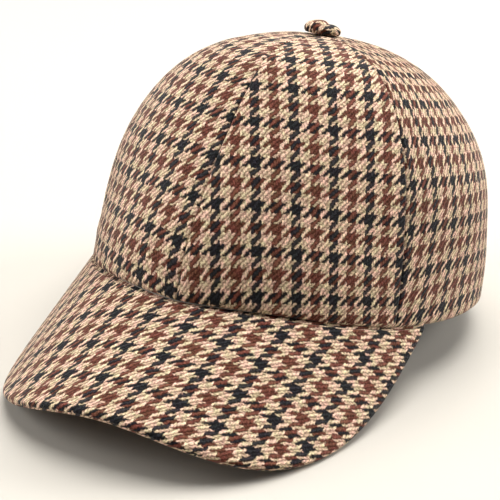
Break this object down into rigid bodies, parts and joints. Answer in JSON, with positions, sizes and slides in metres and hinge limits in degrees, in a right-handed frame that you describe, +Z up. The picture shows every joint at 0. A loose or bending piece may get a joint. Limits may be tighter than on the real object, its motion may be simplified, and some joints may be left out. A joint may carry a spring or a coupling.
{
  "type": "baseball cap",
  "caption": "Soft tweed cap with a panelled dome crown, a stiff curved peak over the brow and a cloth-covered button on top.",
  "frame": {"origin": "on the surface the cap rests on, under the middle of its footprint", "axes": "+Z up from the resting surface, the peak points towards -Y, the wearer's left is +X, and the cap is the same on both sides of the YZ plane"},
  "size_m": [0.173, 0.2612, 0.1305],
  "materials": {
    "tweed_crown": "napped wool tweed, matt",
    "tweed_peak": "napped wool tweed over a stiff board, matt",
    "tweed_button": "napped wool tweed, matt"
  },
  "bodies": {
    "root": {"peak": "tweed_peak", "panel_front_left": "tweed_crown", "panel_front_right": "tweed_crown", "panel_side_left": "tweed_crown", "panel_side_right": "tweed_crown", "panel_back_left": "tweed_crown", "panel_back_right": "tweed_crown", "button": "tweed_button"}
  },
  "joints": []
}
